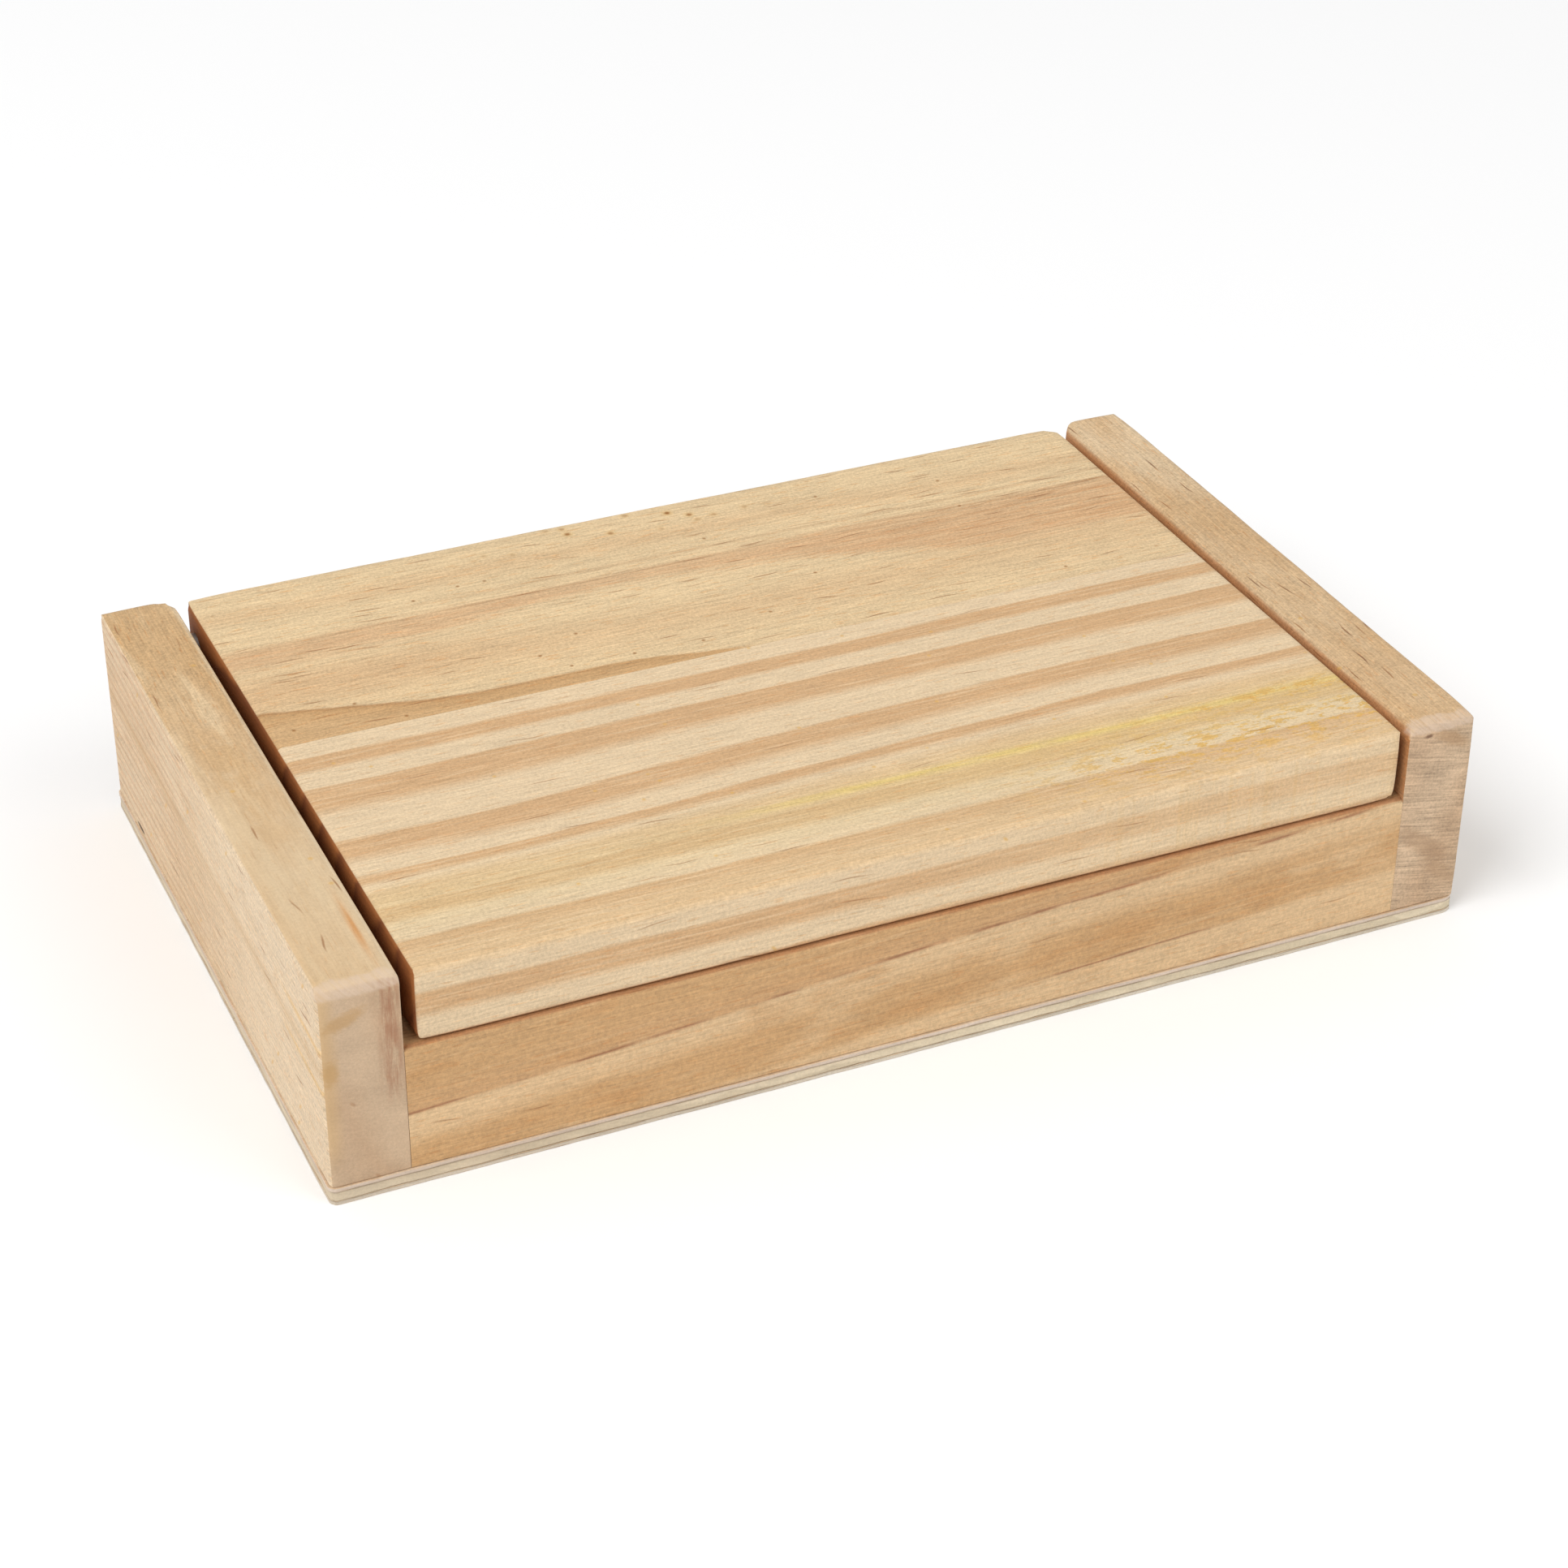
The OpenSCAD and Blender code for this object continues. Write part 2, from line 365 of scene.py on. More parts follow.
class Timber(Tree):
    """A pine board's material. x, y, z, along and across are millimetres in the row frame."""

    # How much each layer of the fine grain lightens and darkens the wood
    BASE = 0.98
    FINE = 0.38
    CLOUD = 0.14
    NAP = 0.5
    STREAK = 0.16
    # How much the pores warm it
    PORES = 0.08
    # The same for the layers of the end grain
    END_PORES = 0.42
    END_BLOTCH = 0.34
    END_SAW = 0.8
    # Waviness of the ducts in millimetres, and how far each row is shifted past the one below
    DUCT_BEND = 4
    DUCT_SHIFT = 0.37

    def __init__(self, name, grain="x", seed=0.0):
        super().__init__(name)
        self.x, self.y, self.z = [part / MM for part in self.xyz("Object")]
        self.normal = self.xyz("Normal")
        lengthwise = grain == "x"
        self.along, self.across = (self.x, self.y) if lengthwise else (self.y, self.x)
        # A coordinate that crosses the grain on every face along it
        self.v = self.across + self.z
        self.seed = seed
        self.height = 0.0
        facing = abs(self.normal[0] if lengthwise else self.normal[1])
        # 1 on the cut ends of the board, and on its top
        self.end = self.rise(facing, 0.6, 0.8)
        self.up = self.rise(self.normal[2], 0.5, 0.9)
        self.streak = self.noise(self.along * 0.05 + seed, self.v * 1.5, seed, detail=3, roughness=0.6)

    def stray(self, fine, broad):
        """How far growth rings wander, in long waves and in the fine steps of single fibres."""
        waves = self.noise(self.along * 0.016 + self.seed, self.across * 0.05, self.z * 0.05)
        return (waves - 0.5) * (2 * broad) + (self.streak - 0.5) * (2 * fine)

    def mark(self, amount, tone):
        """Mixes a tone in by an amount that varies."""
        self.colour = self.mix(amount, self.colour, tone)

    def fibres(self, strength=1.0):
        """Fine streaks and pores along the grain, and the soft nap of a sanded surface."""
        along, v, seed = self.along, self.v, self.seed
        fine = self.noise(along * 0.16 + seed, v * 3.0, seed, detail=2, roughness=0.6)
        cloud = self.noise(along * 0.02 + seed, self.across * 0.14, self.z * 0.14, detail=2)
        nap = self.noise(self.x * 1.9, self.y * 1.9, self.z * 1.9, detail=2, roughness=0.8)
        factor = self.BASE + (fine - 0.5) * (self.FINE * strength) + (cloud - 0.5) * self.CLOUD
        factor = factor + (nap - 0.5) * (self.NAP * strength)
        factor = factor + (self.streak - 0.5) * (self.STREAK * strength)
        pores = self.rise(self.noise(along * 0.3, v * 2.4, seed + 7, detail=1), 0.6, 0.74)
        warmth = 1 - pores * (self.PORES * strength)
        self.colour = self.scale(self.colour, factor, warmth)
        self.height = self.height + nap * 0.6 + fine * 0.4 - pores * 0.3

    def dashes(self, length, width, pitch, share, strength=0.7, where=1.0, tone=DUCT):
        """Short dark resin ducts along the grain. share is how many of the cells have one."""
        reach = width / (2 * pitch)
        bend = (self.noise(self.along * 0.06, self.v * 0.06, self.seed) - 0.5) * self.DUCT_BEND
        row = (self.v + bend) / pitch
        shift = self.seed + row * self.DUCT_SHIFT
        distance, chance = self.cells(self.along * (2 * reach / length) + shift, row)
        body = self.rise(distance, reach * 1.4, reach * 0.3)
        chosen = self.rise(chance, 1 - share, 1 - share * 0.5)
        amount = body * chosen * strength * where * (1 - self.end)
        self.mark(amount, tone)
        self.height = self.height - amount * 0.5

    def spots(self, size, pitch, share, strength=0.7, where=1.0, tone=SPECK):
        """Small round specks. share is how many of the cells have one."""
        reach = size / (2 * pitch)
        distance, chance = self.cells(
            (self.x + self.z * 0.6) / pitch + self.seed, (self.y + self.z * 0.8) / pitch
        )
        body = self.rise(distance, reach * 1.4, reach * 0.3)
        chosen = self.rise(chance, 1 - share, 1 - share * 0.7)
        self.mark(body * chosen * strength * where, tone)

    def blot(self, x, z, wide, tall, tone, amount, slope=0.0):
        """A ragged stain about (x, z), as it shows on the front and back of a board."""
        ragged = self.noise(self.x * 0.6, self.seed, self.z * 1.1, detail=4, roughness=0.75)
        level = self.z - (self.x - x) * slope
        shape = self.hill(self.x, x, wide) * self.hill(level, z, tall)
        self.mark(self.rise(shape + (ragged - 0.5) * 1.1, 0.2, 0.9) * amount, tone)

    def end_grain(self, rings, tones, saw=0.5, period=3.4, rough=1.0):
        """The cut ends: growth rings, open pores and the saw's fine lines."""
        wobble = self.noise(self.x * 0.1 + self.seed, self.y * 0.1, self.z * 0.1)
        turn = self.math("FRACT", (rings + wobble * 5) / period)
        first, second, third = tones
        colour = self.ramp(turn, [(0, first), (0.55, second), (0.85, third), (1, first)])
        pores = self.noise(self.x * 2.2, self.y * 2.2, self.z * 2.2, detail=2, roughness=0.8)
        blotch = self.noise(self.x * 0.2 + self.seed, self.y * 0.2, self.z * 0.25, detail=3)
        slant = self.z + self.across * 0.2
        lines = self.noise(self.across * 0.1, self.seed, slant * 2.4, detail=2, roughness=0.8)
        factor = 1 + (pores - 0.5) * (self.END_PORES * rough)
        factor = factor + (blotch - 0.5) * (self.END_BLOTCH * rough)
        factor = factor + (lines - 0.5) * (self.END_SAW * saw)
        self.colour = self.mix(self.end, self.colour, self.scale(colour, factor))
        cut = pores * 0.5 + lines * 0.5
        self.height = self.height * (1 - self.end) + cut * self.end

    def done(self, depth_mm=0.09):
        """The finished material: duller where the grain is raised and on the ends."""
        roughness = 0.62 + (self.height - 0.4) * 0.2 + self.end * 0.12
        self.shader.inputs["Specular IOR Level"].default_value = 0.3
        return self.finish(self.colour, roughness, self.height, depth_mm)


def lid_front_pine():
    """Rift-sawn: straight stripes that run over the front edge and down the front face."""
    t = Timber("lid_striped_pine", seed=3.1)
    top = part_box("lid_front_stave")[1][2] / MM
    sag = (0.3 + t.hill(t.y, -27, 14) * 1.5) * (1 - 2 * t.rise(t.x, -60, 60))
    sag = sag + t.hill(t.x, -56, 27) * t.hill(t.y, -25, 12) * 1.7
    u = t.y + (t.z - top) + sag + t.stray(0.45, 0.9)
    lower = [
        (-75, PALE), (-72.8, TAN), (-70, TAN), (-69.4, PALE), (-66.8, PALE), (-65.4, TAN),
        (-62.5, TAN), (-61.9, PALE), (-59.6, PALE), (-58.2, MID), (-55, MID), (-51, TAN),
        (-50.2, PALE), (-46.2, PALE), (-44.2, TAN), (-41.5, TAN), (-40.6, MID), (-36.5, MID),
        (-33.8, PALE), (-32.2, TAN), (-30.6, TAN), (-30.1, PALE), (-26.8, PALE), (-24, TAN),
        (-20.2, TAN), (-19.6, PALE), (-13.8, PALE), (-11.4, TAN), (-6.7, TAN), (-6.1, PALE),
        (-2.2, PALE), (-1.2, TAN),
    ]
    upper = [(-1, TAN), (1.7, TAN), (2.3, PALE), (8, PALE)]
    t.colour = t.mix(t.rise(u, -1.0, -0.8), t.ramp(u, lower), t.ramp(u, upper))
    t.mark(t.rise(t.streak, 0.5, 0.66) * 0.35, PALE)
    patchy = t.noise(t.x * 0.09, t.y * 0.3, 2.0, detail=3, roughness=0.7)
    right = t.rise(t.x, -25, 45)
    t.mark(t.rise(u, -55, -60) * right * 0.45, FACE_PALE)
    t.mark(t.hill(u, -41.5, 3) * right * 0.25, YELLOW)
    line = t.hill(t.y + t.stray(0.6, 0.5), -39.4, 0.9) * t.rise(t.x, -36, -4)
    t.mark(line * t.rise(patchy, 0.28, 0.52) * 0.7, LINE_YELLOW)
    stain = t.noise(t.x * 0.24, t.y * 0.6, 7.0, detail=4, roughness=0.75)
    zone = t.hill(t.y, -49, 6.5) * t.rise(t.x, 8, 45) + t.hill(t.y, -40, 2) * t.rise(t.x, 30, 70)
    t.mark(t.rise(stain, 0.5, 0.57) * zone * 0.95, AMBER)
    t.mark(t.hill(t.y, -44, 7) * 0.28, TINT_YELLOW)
    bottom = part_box("lid_front_stave")[0][2] / MM
    # Painted shadow along the lower front edge, where the lid rests on the rail
    t.mark(t.rise(t.z, bottom + 0.7, bottom + 0.25) * t.rise(t.y, -57, -57.6) * 0.7, GAP_SHADOW)
    t.fibres(1.35)
    t.dashes(6, 0.26, 1.3, 0.14, 0.6)
    t.spots(0.7, 8, 0.2, 0.6, tone=AMBER)
    # The ends carry rings and painted shade of the gaps at the walls
    t.end_grain(t.y + t.z * 0.6, LID_END_GRAIN_AND_SHADE, saw=0.1, period=9)
    return t.done()


def lid_back_pine():
    """Plain-sawn: a soft pinkish band, a darker wedge at the glue line and many ducts."""
    t = Timber("lid_plain_pine", seed=11.7)
    x, y = t.x, t.y
    base = [
        (0, MID), (10, CREAM), (20, MID), (27, CREAM), (44, CREAM), (48, MID), (52, CREAM),
        (60, CREAM),
    ]
    t.colour = t.ramp(y + t.stray(0.8, 3.0) + x * 0.02, base)
    t.mark(t.hill(y, 24, 5) * t.rise(x, -20, -60) * 0.55, TAN)
    centre = 34 + t.hill(x, -12, 30) * 2 - t.rise(x, 15, 60) * 4.5
    half = 2.6 - t.hill(x, -14, 22) * 1.4 + t.rise(x, 10, 55) * 4.6
    band = abs(y - centre + t.stray(2.2, 1.2)) - half
    soft = t.rise(band, 2.6, -1.6)
    t.mark(soft * (0.25 + t.streak * 1.1), PINK)
    comb = t.noise(x * 0.02, y * 1.9 + t.stray(1.5, 2.0), 4.0, detail=3, roughness=0.7)
    t.mark(t.rise(comb, 0.46, 0.62) * soft * t.rise(x, 8, 45) * 0.6, COMB)
    t.mark(t.rise(comb, 0.42, 0.3) * soft * t.rise(x, 8, 45) * 0.4, CREAM)
    line = t.hill(y - centre - half + t.stray(0.4, 0.6), 0.2, 0.4)
    t.mark(line * t.rise(t.streak, 0.42, 0.6) * 0.4, DUCT)
    t.mark(t.hill(y + t.stray(0.4, 1.0), 40.8, 0.6) * t.rise(x, -60, -30) * 0.22, DUCT)
    t.mark(t.rise(t.streak, 0.52, 0.68) * t.hill(y, 9, 4) * t.rise(x, 5, 40) * 0.6, TAN)
    crest = 6.4 + t.rise(x, 4, -26) * 4 + t.rise(x, -44, -92) * 8.5
    below = y - crest + t.stray(0.6, 0.3)
    inside = t.rise(below, 0.3, -0.4)
    t.mark(inside * (0.75 + t.rise(below, -6, -0.5) * 0.25), WEDGE)
    t.mark(t.hill(below, -0.3, 0.5) * t.rise(x, 0, -60) * 0.35, DUCT)
    t.fibres(1.7)
    t.dashes(6, 0.3, 1.4, 0.32, 0.75, where=t.rise(abs(y - 21), 2, 7) * t.rise(y, 50, 42))
    t.dashes(3.8, 0.3, 1.7, 0.34, 0.7)
    t.dashes(7, 0.3, 1.1, 0.6, 0.75, where=t.hill(y, 41, 1.3) * t.rise(x, 5, 30))
    edge_specks = t.hill(y, 54, 3.5) * t.hill(x, -2, 24)
    t.spots(2.2, 5, 0.55, 0.4, where=edge_specks, tone=AMBER)
    t.spots(1.1, 5, 0.55, 1.0, where=edge_specks)
    t.spots(0.7, 9, 0.25, 0.7)
    # The ends carry rings and painted shade of the gaps at the walls
    t.end_grain(t.z + t.y * 0.2, LID_END_GRAIN_AND_SHADE, saw=0.1, period=9)
    return t.done()


def rail_pine(node, seed):
    """Warm tan, with growth rings that cross the face on a long slant."""
    t = Timber(node + "_pine", seed=seed)
    # Negative millimetres from the outer face inward, so that rings also cross the top edge
    depth = abs(t.y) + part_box("front_rail")[0][1] / MM
    curve = 18.3 + t.x * 0.07 + t.hill(t.x, 10, 40) * 0.9
    u = t.z - curve + t.stray(0.3, 0.8) - depth * 0.35
    rings = [
        (-30, RAIL), (-19, RAIL_PALE), (-13.6, RAIL_PALE), (-12, RAIL), (-6, RAIL),
        (-2.4, RAIL_PALE), (-0.6, RAIL_PALE), (0.2, RAIL_LINE), (5, RAIL), (14, RAIL),
    ]
    t.colour = t.ramp(u, rings)
    inward = seed + depth * 0.18
    figure = t.noise(t.x * 0.045 + seed, inward, t.z * 0.16 - t.x * 0.012, detail=2)
    t.mark(t.rise(figure, 0.5, 0.66) * t.rise(u, 0, -3) * 0.6, RAIL_PALE)
    t.mark(t.rise(figure, 0.46, 0.32) * 0.6, RAIL_BROWN)
    level = t.z * 1.6 - t.x * 0.11 + depth * 1.3
    fine = t.noise(t.x * 0.03, seed, level, detail=3, roughness=0.7)
    t.mark(t.rise(fine, 0.52, 0.7) * 0.35, RAIL_PALE)
    t.mark(t.rise(fine, 0.44, 0.3) * 0.3, RAIL_STREAK)
    patch = t.rise(t.noise(t.x * 0.08, inward, t.z * 0.3), 0.4, 0.56)
    second = t.hill(u, -12.8, 0.2) * t.rise(abs(t.x - 32), 20, 12)
    t.mark((t.hill(u, 0.0, 0.25) + second) * patch * 0.7, RAIL_DARK)
    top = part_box(node)[1][2] / MM
    # Painted shadow along the rail's top outer edge, under the lid
    t.mark(t.rise(t.z, top - 0.5, top - 0.2) * t.rise(depth, -1.4, -0.6) * 0.45, GAP_SHADOW)
    t.fibres(1.4)
    t.dashes(5, 0.3, 2.0, 0.2, 0.5)
    t.end_grain(t.z + t.y * 0.4, [END_PALE, END_PINK, END_TAN])
    return t.done()


def wall_pine(name, seed, side, top_marks, smooth):
    """Soft mottled pine, fine lines on the outer face and painted shade on the inner face, deepest
    high up.
    top_marks adds one wall's own figure under the fine grain, and smooth is how worn its front top is."""
    t = Timber(name, grain="y", seed=seed)
    x, y, z = t.x, t.y, t.z
    cloud = t.noise(x * 0.09 + seed, y * 0.022, z * 0.07, detail=2) + t.stray(0.06, 0.0)
    t.colour = t.ramp(cloud, [(0.3, WALL_TAN), (0.46, WALL), (0.62, WALL_CREAM), (0.75, WALL)])
    outer = t.rise(t.normal[0] * side, 0.5, 0.9)
    inner = t.rise(t.normal[0] * side, -0.55, -0.95)
    front = t.rise(y, 15, -35)
    t.mark(outer * (0.35 + front * 0.4), WALL_OUTER)
    turn = t.math("FRACT", (z + y * 0.012 + t.stray(0.5, 1.6)) / 2.1)
    t.mark(t.hill(turn, 0.5, 0.17) * outer * t.rise(y, -25, 35) * 0.6, LINE_PINK)
    for height in (27, 20):
        line = t.hill(z - (y + 50) * 0.04 + t.stray(0.3, 0.4), height, 0.6)
        t.mark(line * outer * t.rise(y, -36, -48) * 0.5, AMBER)
    t.mark(t.rise(t.streak, 0.55, 0.7) * 0.3, WALL_TAN)
    mottle = t.noise(x * 0.35, y * 0.2 + seed, z * 0.35, detail=3, roughness=0.65)
    t.mark(t.rise(mottle, 0.5, 0.68) * 0.4, WALL_CREAM)
    t.mark(t.rise(mottle, 0.46, 0.3) * 0.25, WALL_TAN)
    # Painted shade on the inner face, stronger toward the top beside the lid
    t.mark(inner * (0.2 + t.rise(z, 12, 28) * 0.65), INNER_PAINTED_SHADE)
    top_marks(t)
    t.fibres(1.8 - t.rise(y, 35, -20) * t.up * smooth)
    t.dashes(4, 0.34, 1.8, 0.3, 0.7)
    t.spots(0.9, 9, 0.22, 0.55, tone=AMBER)
    rings = x * (side * -0.5) + z * 0.22
    saw, rough = 0.95 + side * 0.75, 1.5 + side * 0.5
    t.end_grain(rings, [END_PALE, END_PINK, END_PALE], saw, period=9, rough=rough)
    return t


def left_top_marks(t):
    """Tan toward the back, soft pale patches, one orange streak and a slit low on the side."""
    patches = t.noise(t.x * 0.3 + t.y * 0.03, t.y * 0.035, 9.0, detail=2)
    t.mark(t.rise(t.y, 0, 40) * t.up * 0.75, LEFT_TOP_BACK)
    t.mark(t.rise(patches, 0.46, 0.66) * t.up * 0.45, LEFT_TOP_PALE)
    t.mark(t.rise(patches, 0.5, 0.32) * t.up * 0.25, LEFT_TOP_TAN)
    t.mark(t.rise(t.y, 10, -45) * t.up * 0.5, LEFT_TOP_FRONT)
    # A painted highlight line along the inner top edge
    edge_highlight = t.hill(t.x, -83, 0.3) * t.rise(t.z, 36.6, 36.9)
    t.mark(edge_highlight * 0.6, LEFT_EDGE_HIGHLIGHT)
    streak = t.hill(t.x + t.stray(0.5, 0.3), -84.6, 0.5) * t.hill(t.y, -45, 7)
    t.mark(streak * t.up * 0.8, LEFT_TOP_STREAK)
    slit = t.hill(t.y, 44, 2.2) * t.hill(t.z, 3.9, 0.45) * t.rise(t.x, -94, -94.5)
    t.mark(t.rise(slit, 0.2, 0.6) * 0.95, LEFT_SLIT)


def left_wall_pine():
    t = wall_pine("left_wall_pine", -4.0, -1, left_top_marks, smooth=1.2)
    ends = t.end * t.rise(t.y, 0, -1)
    streaks = t.noise(t.x * 1.1, 2.0, t.z * 0.12, detail=3, roughness=0.7)
    inner_side = t.hill(t.x, -84.2, 1.6) * t.rise(t.z, 14, 21)
    t.mark(t.rise(streaks, 0.36, 0.62) * inner_side * ends * 0.75, LEFT_END_BROWN)
    t.mark(t.rise(t.x, -91.5, -94) * t.rise(t.z, 4, 12) * ends * 0.5, LEFT_END_YELLOW)
    t.blot(-91, 31.5, 3.5, 1.6, LEFT_STAIN_HIGH, 0.6, slope=0.35)
    t.blot(-93.5, 23, 1.5, 2.5, LEFT_STAIN_LOW, 0.6)
    t.spots(0.7, 2.6, 0.3, 0.5, where=ends * t.rise(t.z, 24, 16), tone=LEFT_END_SPECK)
    return sanded_front(t)


def right_top_marks(t):
    """Browner toward the front, with scattered dark ducts."""
    t.mark(t.up * t.rise(t.y, 45, 10) * 0.45, RIGHT_TOP)
    t.dashes(4.5, 0.34, 1.9, 0.3, 0.85, where=t.up, tone=RIGHT_DUCT)


def right_wall_pine():
    t = wall_pine("right_wall_pine", 14.0, 1, right_top_marks, smooth=0.0)
    t.blot(87.5, 14.5, 6, 2.6, RIGHT_STAIN, 0.5, slope=-0.7)
    t.blot(92, 8, 5, 2, RIGHT_STAIN_LOW, 0.4, slope=-0.7)
    t.blot(90.5, 33.6, 4, 1.6, RIGHT_STAIN_HIGH, 0.5, slope=-0.45)
    t.blot(86, 34.9, 0.9, 0.4, RIGHT_NICK, 0.85)
    return sanded_front(t)


def sanded_front(t):
    """Finishes a wall. Its worn top edge at the front shows pale and pinkish cut fibres."""
    ragged = (t.noise(t.x * 0.5, t.y * 0.5, t.z * 0.5, detail=3) - 0.5) * 3
    reach = t.rise(t.y + ragged, -56, -57) * t.rise(t.z + ragged * 0.3, 35.1, 35.7)
    t.mark(reach * (0.35 + t.rise(t.streak, 0.35, 0.65) * 0.3), SANDED)
    return t.done()


def veneer(name, seed, grain, tone, glue_lines=()):
    """Raw plywood: long wandering figure on its faces, and a paler, rougher sawn edge. glue_lines
    are the heights of its glue, in millimetres."""
    t = Timber(name, grain=grain, seed=seed)
    pale = srgb(*tone)
    darker = srgb(*[part - PLY_DARKER for part in tone])
    face = t.rise(abs(t.normal[2]), 0.4, 0.6)
    swirl = t.noise(t.along * 0.012 + seed, t.across * 0.035, seed, detail=2)
    turn = t.math("FRACT", t.across * 0.07 + swirl * 6 + t.stray(0.06, 0))
    cloud = t.noise(t.along * 0.05 + seed, t.across * 0.3, t.z * 0.4, detail=3)
    t.colour = t.ramp(cloud, [(0.35, darker), (0.65, pale)])
    t.mark(face * 0.55, PLY_FACE)
    t.mark(t.rise(turn, 0.25, 0.95) * face * 0.4, PLY_FIGURE)
    t.fibres(0.9)
    t.dashes(7, 0.25, 1.6, 0.3, 0.5)
    t.end_grain(t.z * 0.9 + t.across * 0.03, [pale, darker, darker], saw=0.35)
    gaps = t.noise(t.x * 0.12, t.y * 0.12, seed, detail=2)
    t.mark(t.rise(t.x, 20, -90) * (1 - face) * 0.3, PLY_GREY)
    for height in glue_lines:
        line = t.hill(t.z, height, 0.15) * (0.4 + t.rise(gaps, 0.45, 0.55) * 0.5)
        t.mark(line * (1 - face), GLUE)
    return t.done()


def steel(name, seed, axis, shine=1.0):
    """Drawn steel with fine lines along the wire, which lies along axis 0, 1 or 2."""
    t = Tree(name)
    parts = [part / MM for part in t.xyz("Object")]
    scales = [0.15 if index == axis else 6.0 for index in range(3)]
    lines = t.noise(*[part * scale for part, scale in zip(parts, scales)], detail=3)
    cloud = t.noise(parts[0] * 0.4 + seed, parts[1] * 0.4, parts[2] * 0.4)
    tones = [(0.3, STEEL_DARK), (0.7, STEEL_PALE)]
    t.shader.inputs["Metallic"].default_value = shine
    rough = 0.6 - shine * 0.3 + cloud * 0.2
    return t.finish(t.ramp(lines * 0.6 + cloud * 0.4, tones), rough, lines, 0.01)


# Boards

# Corner radii in millimetres
SHARP = 0
SAWN = 0.15
PLY_EDGE = 0.1
SANDED_EDGE = 0.7
SOFT_EDGE = 1.8
REAR_CORNER = 3
LID_REAR_LEFT = 1.6
LID_REAR_TOP = 1.2
LID_FRONT_LEFT = 0.8
LID_FRONT_EDGE = 1
# The edges at the lid's ends, as seen from the front and from the lower left round
LID_ENDS = [1.6, 2.4, 0.8, 0.9]
RIGHT_WALL_OUTER_TOP = 1.3
RIGHT_WALL_OUTER_FRONT = 0.9
PLY_CORNERS = [1.2, 2.2, 1.2, 1.2]

# How unevenly the edges are worn, as shares of their radii
WALL_WEAR = 0.35
LID_WEAR = 0.3
PLY_WEAR = 0.1
# Room that the grid leaves for the most worn places
WEAR_ROOM = 2.2
# How far apart the worn places and the nicks are, and how far wear at a board's ends reaches
WORN_PITCH = 18 * MM
NICK_PITCH = 3 * MM
NICK_SHARE = 0.6
END_REACH = 4 * MM
# How far apart the marks of the saw are, and how near a face a point has to be to feel them
SAW_PITCH = 4 * MM
SAW_REACH = 0.6 * MM

GRID_STEP_MM = 2.0
PIN_CLEARANCE = 0.05 * MM
CREASE_DEGREES = 40


def edge_marks(radius, count=6):
    """Distances from a face at which a rounded edge needs its points."""
    return [radius * (1 - math.tan(math.pi / 4 * (count - i) / count)) for i in range(count + 1)]


def axis_marks(low, high, radius_low, radius_high, step):
    """Grid places along one side of a board: close at its rounded edges, even between them."""
    start, stop = low + radius_low, high - radius_high
    count = max(1, round((stop - start) / step))
    middle = [start + (stop - start) * i / count for i in range(1, count)]
    first = [low + mark for mark in edge_marks(radius_low)] if radius_low else [low]
    last = [high - mark for mark in reversed(edge_marks(radius_high))] if radius_high else [high]
    return first + middle + last


def grid_shell(marks):
    """(points, faces) of a closed box whose sides are divided at the marks."""
    counts = [len(line) for line in marks]
    index = {}
    points = []

    def point(key):
        if key not in index:
            index[key] = len(points)
            points.append([marks[axis][key[axis]] for axis in range(3)])
        return index[key]

    faces = []
    for axis in range(3):
        a, b = (axis + 1) % 3, (axis + 2) % 3
        for end in (0, counts[axis] - 1):
            for i in range(counts[a] - 1):
                for j in range(counts[b] - 1):
                    corners = [(i, j), (i + 1, j), (i + 1, j + 1), (i, j + 1)]
                    keys = []
                    for u, v in corners if end else reversed(corners):
                        key = [0, 0, 0]
                        key[axis], key[a], key[b] = end, u, v
                        keys.append(point(tuple(key)))
                    faces.append(keys)
    return np.array(points), faces


def roughly(values, pitch, seed):
    """Noise from 0 to 1 along a line of places, with a feature about every pitch."""
    return np.array([noise.noise(Vector((v / pitch, seed, 0.5))) * 0.5 + 0.5 for v in values])


def round_edges(points, box, whole, radii, plane, wear, seed):
    """Rounds the four edges seen in a plane of two axes. radii start at the lower left. The
    sanding only ever takes off more than the radius, and most at the ends of the whole board."""
    a, b = plane
    along = 3 - a - b
    low, high = box
    line = points[:, along]
    to_end = np.minimum(line - whole[0][along], whole[1][along] - line)
    ends = np.exp(-((np.maximum(to_end, 0) / END_REACH) ** 2))
    for (side_a, side_b), radius in zip(((-1, -1), (1, -1), (1, 1), (-1, 1)), radii):
        if not radius:
            continue
        sanding = roughly(line, WORN_PITCH, seed + side_a + 2 * side_b)
        nicks = roughly(line, NICK_PITCH, seed + 5 + side_a + 2 * side_b) ** 4
        reach = radius * (1 + wear * (sanding + NICK_SHARE * nicks + ends))
        centre_a = high[a] - reach if side_a > 0 else low[a] + reach
        centre_b = high[b] - reach if side_b > 0 else low[b] + reach
        da = (points[:, a] - centre_a) * side_a
        db = (points[:, b] - centre_b) * side_b
        distance = np.hypot(da, db)
        outside = (da > 0) & (db > 0) & (distance > reach)
        shrink = np.where(outside, reach / np.maximum(distance, 1e-9), 1.0)
        points[:, a] = np.where(outside, centre_a + side_a * da * shrink, points[:, a])
        points[:, b] = np.where(outside, centre_b + side_b * db * shrink, points[:, b])


def ruffle(points, box, depth, seed):
    """Moves the four upright faces in by up to depth, as a coarse saw leaves them."""
    for axis in (0, 1):
        other = points[:, 1 - axis].copy()
        for side, plane in ((-1, box[0][axis]), (1, box[1][axis])):
            near = np.abs(points[:, axis] - plane) < SAW_REACH
            cut = depth * roughly(other, SAW_PITCH, seed + side + 3 * axis)
            points[:, axis] -= np.where(near, side * cut, 0)


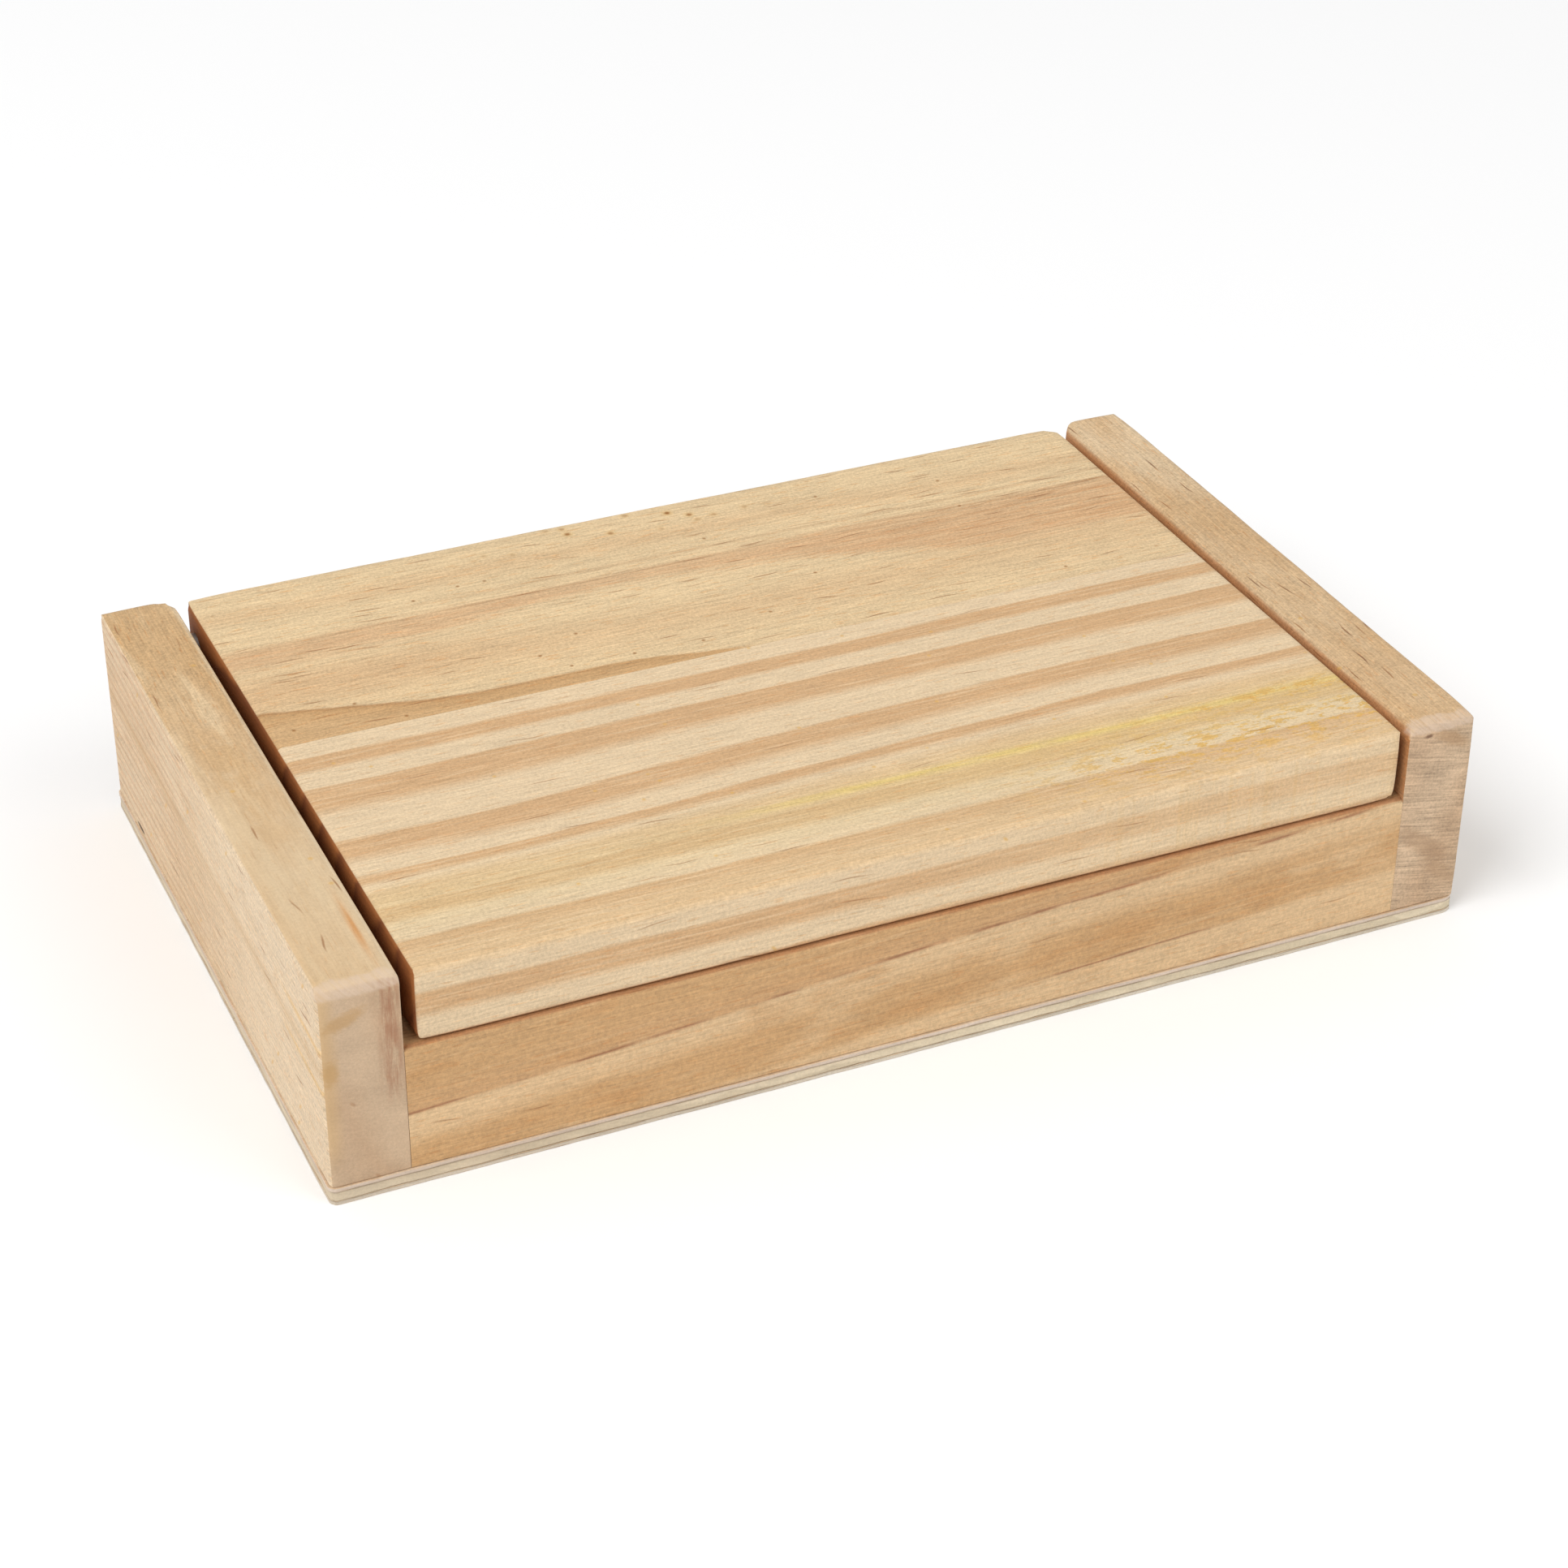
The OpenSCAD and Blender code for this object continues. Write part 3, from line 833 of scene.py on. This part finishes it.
def make_board(
    node, name, material, front, side, plan,
    wear=WALL_WEAR, seed=0.0, whole=None, saw=0.0,
):
    """A board the size of a CAD node. front, side and plan are its corner radii in millimetres
    as seen from the front, from the right and from above, from the lower left round. whole is
    the box of all the boards that its ends run on into, and saw how far in, in millimetres, the
    saw's marks go."""
    box = [list(corner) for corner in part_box(node)]
    low, high = box
    front, side, plan = [[radius * MM for radius in view] for view in (front, side, plan)]
    spread = 1 + WEAR_ROOM * wear
    pairs = (
        ([front[0], front[3], plan[0], plan[3]], [front[1], front[2], plan[1], plan[2]]),
        ([side[0], side[3], plan[0], plan[1]], [side[1], side[2], plan[2], plan[3]]),
        ([front[0], front[1], side[0], side[1]], [front[2], front[3], side[2], side[3]]),
    )
    marks = []
    for i, (lows, highs) in enumerate(pairs):
        room = (high[i] - low[i]) * 0.49
        first, last = [min(max(radii) * spread, room) for radii in (lows, highs)]
        marks.append(axis_marks(low[i], high[i], first, last, GRID_STEP_MM * MM))
    points, faces = grid_shell(marks)
    whole = whole or box
    round_edges(points, box, whole, side, (1, 2), wear, seed)
    round_edges(points, box, whole, front, (0, 2), wear, seed + 10)
    round_edges(points, box, whole, plan, (0, 1), wear, seed + 20)
    if saw:
        ruffle(points, box, saw * MM, seed)
    mesh = bpy.data.meshes.new(name)
    mesh.from_pydata(points.tolist(), [], faces)
    mesh.materials.append(material)
    piece = bpy.data.objects.new(name, mesh)
    bpy.context.scene.collection.objects.link(piece)
    return piece


def bore(piece, cutter):
    """Takes the cutter's shape out of a piece."""
    cut = piece.modifiers.new("bore", "BOOLEAN")
    cut.object = cutter
    cut.operation = "DIFFERENCE"
    cut.solver = "EXACT"
    graph = bpy.context.evaluated_depsgraph_get()
    bored = bpy.data.meshes.new_from_object(piece.evaluated_get(graph))
    piece.modifiers.clear()
    piece.data = bored


def pin_cutter(node, clearance, sides=64):
    """A round bar, a little longer than the pin, for the hole that the pin turns in."""
    low, high = [Vector(corner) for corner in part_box(node)]
    size = high - low
    form = bmesh.new()
    place = Matrix.Translation((low + high) / 2) @ Matrix.Rotation(math.pi / 2, 4, "Y")
    radius = size.z / 2 + clearance
    bmesh.ops.create_cone(
        form, cap_ends=True, segments=sides, radius1=radius, radius2=radius,
        depth=size.x + 2 * MM, matrix=place,
    )
    mesh = bpy.data.meshes.new("cutter")
    form.to_mesh(mesh)
    form.free()
    cutter = bpy.data.objects.new("cutter", mesh)
    bpy.context.scene.collection.objects.link(cutter)
    return cutter


def settle(piece, node, body):
    """The piece is shaded smooth and takes the CAD node's place and its body."""
    for polygon in piece.data.polygons:
        polygon.use_smooth = True
    piece.data.set_sharp_from_angle(angle=math.radians(CREASE_DEGREES))
    piece.modifiers.new("even_shading", "WEIGHTED_NORMAL").keep_sharp = True
    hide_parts(node)
    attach(piece, body)


def make_lid():
    """Two staves that share their end edges, so that the edges run on across the glue line."""
    low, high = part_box("lid_back_stave")
    front_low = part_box("lid_front_stave")[0]
    whole = [[min(pair) for pair in zip(low, front_low)], list(high)]
    thick = (high[2] - low[2]) / MM
    back = make_board(
        "lid_back_stave", "lid_back_board", lid_back_pine(), front=LID_ENDS,
        side=[SHARP, thick / 2, LID_REAR_TOP, SHARP],
        plan=[SHARP, SHARP, REAR_CORNER, LID_REAR_LEFT], wear=LID_WEAR, seed=1, whole=whole,
    )
    front = make_board(
        "lid_front_stave", "lid_front_board", lid_front_pine(), front=LID_ENDS,
        side=[LID_FRONT_EDGE, SHARP, SHARP, LID_FRONT_EDGE],
        plan=[LID_FRONT_LEFT, LID_FRONT_EDGE, SHARP, SHARP], wear=LID_WEAR, seed=1, whole=whole,
    )
    for pin in ("left_hinge_pin", "right_hinge_pin"):
        cutter = pin_cutter(pin, PIN_CLEARANCE)
        bore(back, cutter)
        bpy.data.objects.remove(cutter)
    settle(back, "lid_back_stave", "lid")
    settle(front, "lid_front_stave", "lid")


def make_walls():
    """End walls. The left one's inner edge is crisp, and the right one's is well rounded."""
    side = [SAWN, SAWN, SANDED_EDGE, SOFT_EDGE]
    left = make_board(
        "left_end_wall", "left_end_board", left_wall_pine(),
        front=[SAWN, SAWN, SANDED_EDGE, SANDED_EDGE], side=side,
        plan=[SANDED_EDGE, SAWN, REAR_CORNER, SANDED_EDGE], seed=31,
    )
    right = make_board(
        "right_end_wall", "right_end_board", right_wall_pine(),
        front=[SAWN, SAWN, RIGHT_WALL_OUTER_TOP, SOFT_EDGE], side=side,
        plan=[SAWN, RIGHT_WALL_OUTER_FRONT, SANDED_EDGE, REAR_CORNER], seed=37,
    )
    for wall, word in ((left, "left"), (right, "right")):
        for node in (word + "_hinge_pin", "front_rail_dowels", "back_rail_dowels", "base_brads"):
            bore(wall, NODES[node])
        settle(wall, word + "_end_wall", "box")


def make_rails():
    """Rails cut square at their ends, where they are glued to the walls."""
    for word, seed in (("front", 0.0), ("back", 21.0)):
        node = word + "_rail"
        rail = make_board(
            node, node + "_board", rail_pine(node, seed), front=[SHARP] * 4,
            side=[SAWN, SAWN, SANDED_EDGE, SANDED_EDGE], plan=[SHARP] * 4, seed=50 + seed,
        )
        bore(rail, NODES[node + "_dowels"])
        bore(rail, NODES["base_brads"])
        settle(rail, node, "box")


def make_plies():
    """Three sheets whose tiny edge rounds leave the glue lines, sawn a little unevenly."""
    glue_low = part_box("base_core_ply")[0][2] / MM
    glue_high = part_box("base_core_ply")[1][2] / MM
    plies = (
        ("base_top_veneer", "x", TOP_PLY, 0.08),
        ("base_core_ply", "y", CORE_PLY, 0.3),
        ("base_bottom_veneer", "x", BOTTOM_PLY, 0.2),
    )
    for index, (node, grain, tone, saw) in enumerate(plies):
        material = veneer(node + "_wood", 2.0 + 4 * index, grain, tone, (glue_low, glue_high))
        ply = make_board(
            node, node + "_sheet", material, front=[PLY_EDGE] * 4, side=[PLY_EDGE] * 4,
            plan=PLY_CORNERS, wear=PLY_WEAR, seed=60 + index, saw=saw,
        )
        bore(ply, NODES["base_brads"])
        settle(ply, node, "box")


def dress_cad_nodes():
    """The pins, dowels and brads keep their CAD shape, and get their finish here."""
    finishes = {
        "left_hinge_pin": steel("left_pin_steel", 1.0, 0),
        "right_hinge_pin": steel("right_pin_steel", 2.0, 0),
        "base_brads": steel("brad_steel", 3.0, 2, shine=0.6),
        "front_rail_dowels": veneer("front_dowel_beech", 4.0, "x", BEECH),
        "back_rail_dowels": veneer("back_dowel_beech", 5.0, "x", BEECH),
    }
    for node, material in finishes.items():
        NODES[node].data.materials.clear()
        NODES[node].data.materials.append(material)


make_camera()
make_studio()
make_lid()
make_walls()
make_rails()
make_plies()
dress_cad_nodes()
